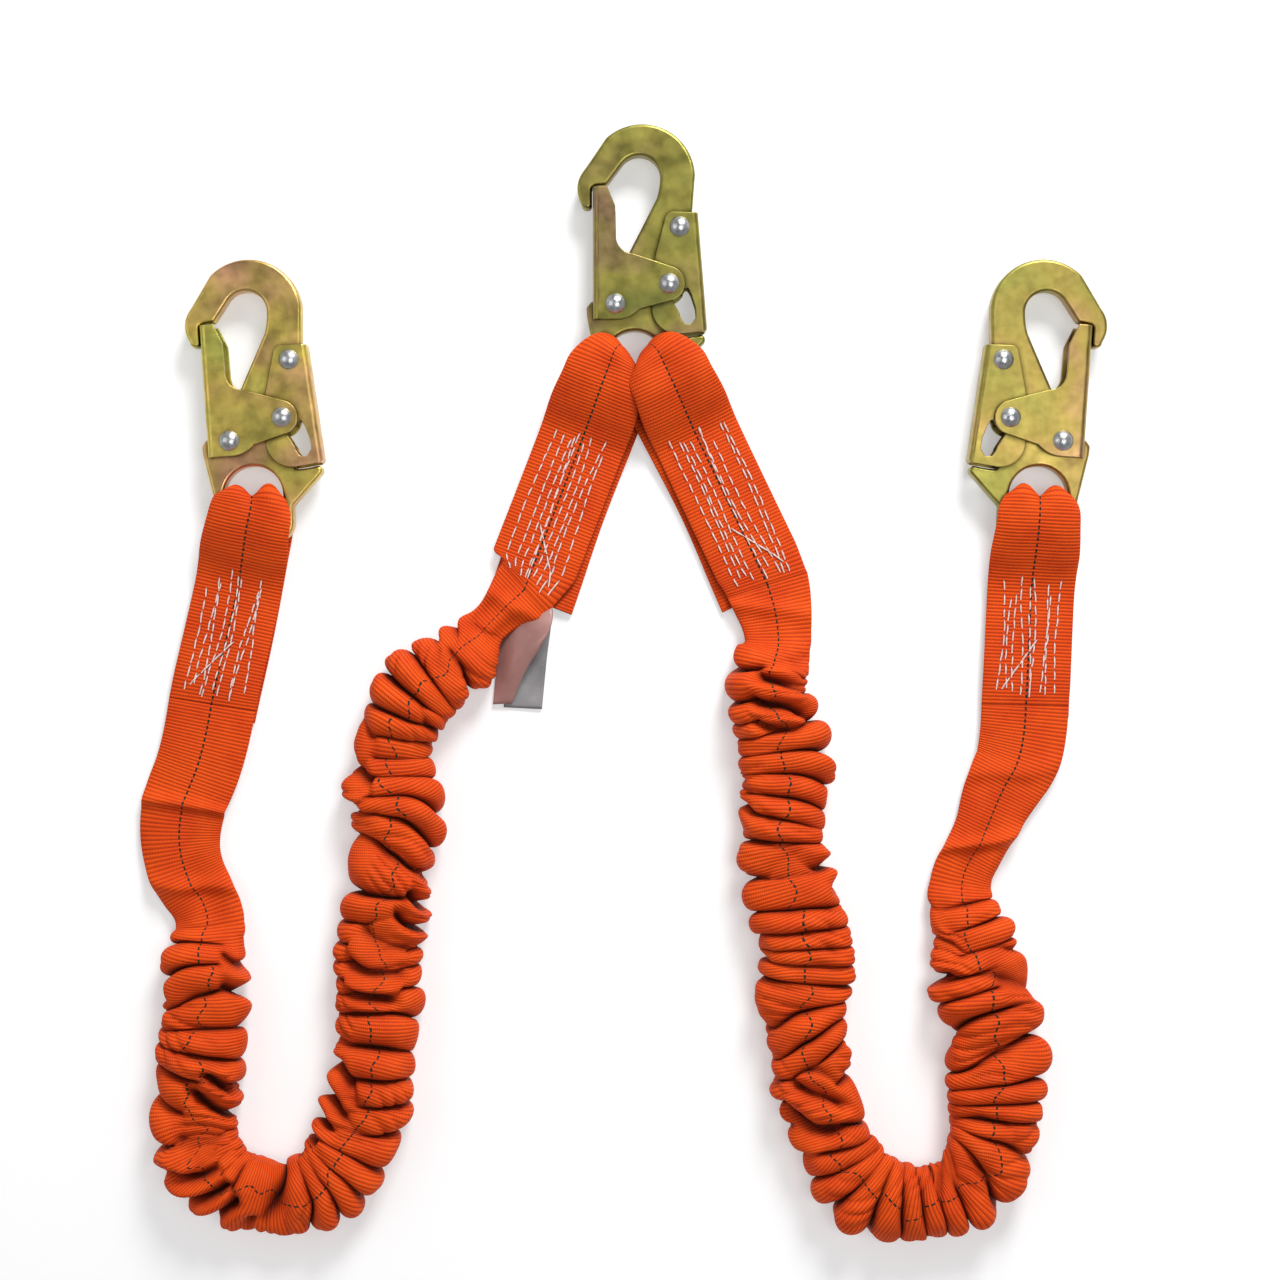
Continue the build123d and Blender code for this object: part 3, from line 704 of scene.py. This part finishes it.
def sewn_keys(finish, lean, top, fold, lift, shift, back_z):
    """Keys of a sewn end, in metres in the hook's frame: up the front, through the eye and down the back.

    finish is where the leg starts and lean its bearing; the others are as in UPPER_ENDS."""
    top = np.array(top)
    way = finish - top
    long = np.linalg.norm(way)
    way /= long

    def front(distance, z, wide, high, crease=0.0):
        return (*(top + way * distance), z, lean, wide, high, crease)

    def back(distance):
        x, y = top + way * distance + np.array(shift) * distance / long
        return (x, y, BACK_Z, lean, BACK_HALF_WIDE, BACK_HALF_HIGH, 0.0)

    fold_x, fold_y, fold_wide, fold_lean, crease = fold
    inward = 0.75
    return [
        # up the front: distance from the top, height, half width, half thickness and crease
        front(long - 0.001, 0.0046, 0.0222, 0.0022),
        front(long - 0.014, 0.0058, 0.0220, 0.0018),
        front(long * 0.62, 0.0056, 0.0219, 0.0016),
        front(0.044, 0.0060, 0.0219, 0.0016),
        front(0.034, 0.0085, 0.0221, 0.0018, 0.0003),
        front(0.024, 0.0140 + lift / 2, 0.0222, 0.0020, 0.0008),
        front(0.012, 0.0190 + lift, 0.0210, 0.0024, 0.0012),
        front(0.002, 0.0205 + lift, 0.0200, 0.0026, 0.0020),
        # over the fold and down through the eye
        (
            (top[0] + fold_x) / 2, (top[1] + fold_y) / 2 + 0.002, 0.0198 + lift, (lean + fold_lean) / 2,
            (0.0195 + fold_wide) / 2, 0.0027, crease * 0.65,
        ),
        (fold_x, fold_y, 0.0150, fold_lean, fold_wide + 0.001, 0.0028, crease),
        (fold_x, fold_y - 0.0025, 0.0085, fold_lean, fold_wide, 0.0026, crease * 0.7),
        (fold_x, -0.002, 0.0040, 90, fold_wide, 0.0020, crease * 0.2),
        # down the back
        (inward * fold_x, -0.014, back_z, (lean + 90) / 2, (fold_wide + 0.020) / 2, BACK_HALF_HIGH, 0.0),
        (inward * (top + way * 0.026)[0], -0.027, back_z, lean, 0.0195, BACK_HALF_HIGH, 0.0),
        back(long * 0.6),
        back(long - 0.01),
        back(long + 0.005),
    ]


def build_strap(name, keys, origin, spin, ring, begin, cloth):
    """One sewn end, whose first row is the leg's own ring; gives its piece and its rows."""
    rows = strap_rows(keys, origin, spin)
    middles = rows.mean(1)
    share = smooth_step(np.linalg.norm(middles - middles[0], axis=1), 0.0, STRAP_JOIN)
    share[len(rows) // 4 :] = 1
    moved = ring[None] + (middles - ring.mean(0))[:, None, :]
    rows = rows * share[:, None, None] + moved * (1 - share[:, None, None])
    rows = np.concatenate([ring[None], rows])
    rows[..., 2] = np.maximum(rows[..., 2], FLOOR_GAP)
    piece = grid_mesh(name, rows, cloth, strap_uv(rows, begin))
    return piece, rows


def add_stitch(body, vertices, faces):
    """Adds a stitch, a closed tube along the points of its body, to a mesh's vertices and faces."""
    side = np.cross(np.gradient(body, axis=0), UP)
    side /= np.linalg.norm(side, axis=1)[:, None] + 1e-12
    first = len(vertices)
    for centre, across, share in zip(body, side, THREAD_TAPER):
        for corner in range(THREAD_SIDES):
            turn = 2 * math.pi * corner / THREAD_SIDES
            vertices.append(centre + (across * math.cos(turn) + UP * math.sin(turn)) * THREAD_R * share)
    last = len(vertices) - THREAD_SIDES
    for start in range(first, last, THREAD_SIDES):
        for corner in range(THREAD_SIDES):
            a, b = start + corner, start + (corner + 1) % THREAD_SIDES
            faces.append((a, b, b + THREAD_SIDES, a + THREAD_SIDES))
    faces.append(tuple(range(first, first + THREAD_SIDES)))
    faces.append(tuple(reversed(range(last, last + THREAD_SIDES))))


def build_stitches(name, rows, seed, hand, material):
    """Wandering rows of stitches, and a slanting one, on the front of a sewn end, where its rows begin."""
    rng = np.random.default_rng(seed)
    line = lengths(rows[:, FRONT_MIDDLE])
    seam_to = line[np.argmax(rows[:, FRONT_MIDDLE, 2] > SEAM_TOP_Z)]
    reach = AROUND // 4 - 3
    front = rows[:, FRONT_MIDDLE - reach : FRONT_MIDDLE + reach + 1]
    width = np.linspace(-1, 1, front.shape[1])
    vertices, faces = [], []

    def on_front(distance, across):
        columns = [[np.interp(distance, line, values) for values in front[..., axis].T] for axis in range(3)]
        return np.array([np.interp(across, width, column) for column in columns])

    def stitch(start, end, bow):
        """A stitch between two places, each a distance and a share of the width, with sunken ends."""
        body = []
        for t in np.linspace(0, 1, len(THREAD_TAPER)):
            distance, across = np.array(start) + (np.array(end) - np.array(start)) * t
            height = -STITCH_SINK + STITCH_RISE * math.sin(math.pi * min(max(t, 0.06), 0.94)) ** 0.5
            body.append(on_front(distance, across + bow * math.sin(math.pi * t)) + UP * height)
        add_stitch(np.array(body), vertices, faces)

    for number in range(SEAM_LINES):
        base = -SEAM_SPREAD + 2 * SEAM_SPREAD * number / (SEAM_LINES - 1) + rng.uniform(-0.05, 0.05)
        drift = rng.uniform(-0.10, 0.10)
        wave = rng.uniform(0.02, 0.06)
        turn = rng.uniform(0, 6)
        place = SEAM_START + rng.uniform(0, 0.006)
        stop = seam_to - rng.uniform(0, 0.012)
        while place < stop:
            long = rng.uniform(*STITCH)
            ends = []
            for distance in (place, place + long):
                t = distance / seam_to
                across = base + drift * t + wave * math.sin(turn + 5 * t) + rng.uniform(-0.012, 0.012)
                ends.append((distance, across))
            stitch(*ends, rng.uniform(-0.01, 0.01))
            place += long + rng.uniform(*STITCH_GAP)
    for step in range(SLANT_STITCHES):
        shares = (step / SLANT_STITCHES, (step + 0.93) / SLANT_STITCHES)
        ends = [(SLANT_START + SLANT_LONG * t, hand * (0.75 * t - 0.55)) for t in shares]
        stitch(*ends, 0.01)
    mesh = bpy.data.meshes.new(name)
    mesh.from_pydata([tuple(p) for p in vertices], [], faces)
    mesh.polygons.foreach_set("use_smooth", [True] * len(mesh.polygons))
    piece = add_piece(name, mesh, material)
    return piece


def inner_strip(name, points, reach, shifts, size, material):
    """Flat strips inside a leg's gathered stretch, each shifted to one side of its centreline."""
    run = lengths(points)
    kept = points[(run > reach[0]) & (run < reach[1])].copy()
    kept[:, 2] = GATHER_Z
    _, side = flat_frame(kept)
    across, rise, _ = section(24, 4.0)
    wide, high = size
    strips = []
    for shift in shifts:
        rows = kept[:, None, :] + side[:, None, :] * (shift + wide / 2 * across)[None, :, None]
        rows += UP * (high / 2 * rise)[None, :, None]
        strips.append(grid_mesh(name, rows, material))
    if len(strips) > 1:
        with bpy.context.temp_override(active_object=strips[0], selected_editable_objects=strips):
            bpy.ops.object.join()
    return strips[0]


def build_end(prefix, where, hook, finish, ring, begin, shape, seed, finishes, frames):
    """One end of a leg, sewn round a hook's bar, and its stitches; the leg's last ring is where it begins."""
    origin, spin = frames[hook]
    local = (np.array(finish) - origin) @ spin
    top = np.array(shape["top"])
    way = top - local
    lean = math.degrees(math.atan2(way[1], way[0]))
    keys = sewn_keys(local, lean, **shape)
    name = f"{prefix}_{where}"
    strap, rows = build_strap(f"{name}_sewn_end", keys, origin, spin, ring, begin, finishes["webbing"])
    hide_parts(f"{name}_eye")
    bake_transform(strap)
    hand, extra = SEAMS[where]
    stitches = build_stitches(f"{name}_seam", rows, seed + extra, hand, finishes["thread"])
    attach(stitches, f"{prefix}_leg")
    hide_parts(f"{name}_stitching")


def build_leg(prefix, route, halves, folds, gather, seed, finishes, frames):
    """One leg: its gathered webbing, the strips inside it and its two sewn ends."""
    points = route_points(f"{prefix}_route", route, gather)
    run = lengths(points)

    def run_at(mark):
        return run[np.argmin(np.linalg.norm(points[:, :2] - mark, axis=1))]

    halfway = [(np.array(route[n]) + np.array(route[n + 1])) / 2 for n in (gather[0] - 1, gather[1])]
    gather_from, gather_to = (run_at(mark) for mark in halfway)
    stations = [run_at(mark) for mark in route]
    widths = evened(np.interp(run, stations, np.array(halves) / 1000), 25)
    rows, uv, hollow = leg_rows(points, widths, folds, gather_from, gather_to, seed)
    piece = grid_mesh(f"{prefix}_leg_webbing", rows, finishes["webbing"], uv)
    piece.data.attributes.new("hollow", "FLOAT", "POINT").data.foreach_set("value", hollow.ravel())
    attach(piece, f"{prefix}_leg")
    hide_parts(f"{prefix}_leg_cover")
    reach = (gather_from + STRIP_INSET, gather_to - STRIP_INSET)
    core = inner_strip(f"{prefix}_absorber", points, reach, [0.0], CORE_SIZE, finishes["core_webbing"])
    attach(core, f"{prefix}_leg")
    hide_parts(f"{prefix}_absorber_core")
    sides = [-ELASTIC_SIDE, ELASTIC_SIDE]
    bands = inner_strip(f"{prefix}_elastic", points, reach, sides, ELASTIC_SIZE, finishes["elastic"])
    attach(bands, f"{prefix}_leg")
    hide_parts(f"{prefix}_elastic_strips")
    mirror = (-np.arange(AROUND)) % AROUND
    upper, lower = UPPER_ENDS[prefix], LOWER_END
    rest = (seed, finishes, frames)
    build_end(prefix, "upper", "center", route[0], rows[0][mirror], uv[0, 0, 0], upper, *rest)
    build_end(prefix, "lower", prefix, route[-1], rows[-1], uv[-1, 0, 0], lower, *rest)


# ---------------------------------------------------------------- label pack
def build_leaf(node, left_edge, right_edge, bulge, finish):
    """A thin leaf between two curved edges, bulging upwards between them."""
    left = spline_through(left_edge, LEAF_ROWS)
    right = spline_through(right_edge, LEAF_ROWS)
    w = np.linspace(0, 1, LEAF_COLUMNS)[None, :, None]
    top = left[:, None, :] * (1 - w) + right[:, None, :] * w
    along = np.linspace(0, 1, LEAF_ROWS)[:, None]
    top[..., 2] += bulge * np.sin(math.pi * along) * np.sin(math.pi * w[..., 0] * 0.9)
    low = top[:, ::-1] - UP * LEAF_THICK
    piece = grid_mesh(f"{node}_leaf", np.concatenate([top, low], axis=1), finish)
    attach(piece, "left_leg")
    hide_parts(node)


def build_label(finishes):
    """The label pack under the upper end of the left leg: grey pages below a mauve cover."""
    build_leaf(
        "label_pages",
        [(-.0690, -.1290, .0008), (-.0705, -.1600, .0008), (-.0717, -.1862, .0010)],
        [(-.0482, -.1290, .0008), (-.0476, -.1420, .0009), (-.0500, -.1620, .0012), (-.0524, -.1871, .0016)],
        0.0004, finishes["label_paper"],
    )
    build_leaf(
        "label_cover",
        [(-.0715, -.1290, .0016), (-.0745, -.1560, .0018), (-.0770, -.1847, .0022)],
        [
            (-.0500, -.1287, .0022), (-.0468, -.1373, .0055), (-.0478, -.1465, .0085),
            (-.0530, -.1560, .0080), (-.0605, -.1680, .0055), (-.0676, -.1842, .0030),
        ],
        0.0035, finishes["label_vinyl"],
    )


# ---------------------------------------------------------------- steel
def finish_steel():
    rivets = rivet_steel()
    for number, (prefix, tints) in enumerate(TINTS.items()):
        forged = plated_steel(f"{prefix}_forged_steel", *tints, seed=0.3 + number, rough=0.36)
        folded = plated_steel(f"{prefix}_folded_steel", *tints, seed=0.7 + number, rough=0.37)
        finish = {
            "hook_body": forged, "gate": folded, "lock_lever": folded,
            "gate_rivet": rivets, "lever_rivet": rivets, "lock_pin": rivets,
        }
        for part, material in finish.items():
            for slot in nodes[f"{prefix}_{part}"].material_slots:
                slot.material = material


def build_springs(frames, wire):
    """Torsion springs: each is a copy of its part's mesh in spring steel, in the part's place."""
    for prefix, (origin, spin) in frames.items():
        for part, moved, pivot, root, reach in SPRINGS:
            node = nodes[f"{prefix}_{part}"]
            piece = add_piece(f"{prefix}_{part}_wire", node.data.copy(), wire)
            piece.matrix_world = node.matrix_world
            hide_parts(f"{prefix}_{part}")
            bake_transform(piece)


build_camera()
build_lights()
build_world()
build_floor()
frames = {prefix: hook_frame(prefix) for prefix in FLIPS}
finishes = {
    "webbing": webbing(), "thread": thread(), "core_webbing": core_webbing(), "elastic": elastic(),
    "label_vinyl": label_vinyl(), "label_paper": label_paper(),
}
build_leg("left", LEFT_ROUTE, LEFT_HALVES, LEFT_FOLDS, LEFT_GATHER, LEFT_SEED, finishes, frames)
build_leg("right", RIGHT_ROUTE, RIGHT_HALVES, RIGHT_FOLDS, RIGHT_GATHER, RIGHT_SEED, finishes, frames)
build_label(finishes)
finish_steel()
build_springs(frames, spring_steel())
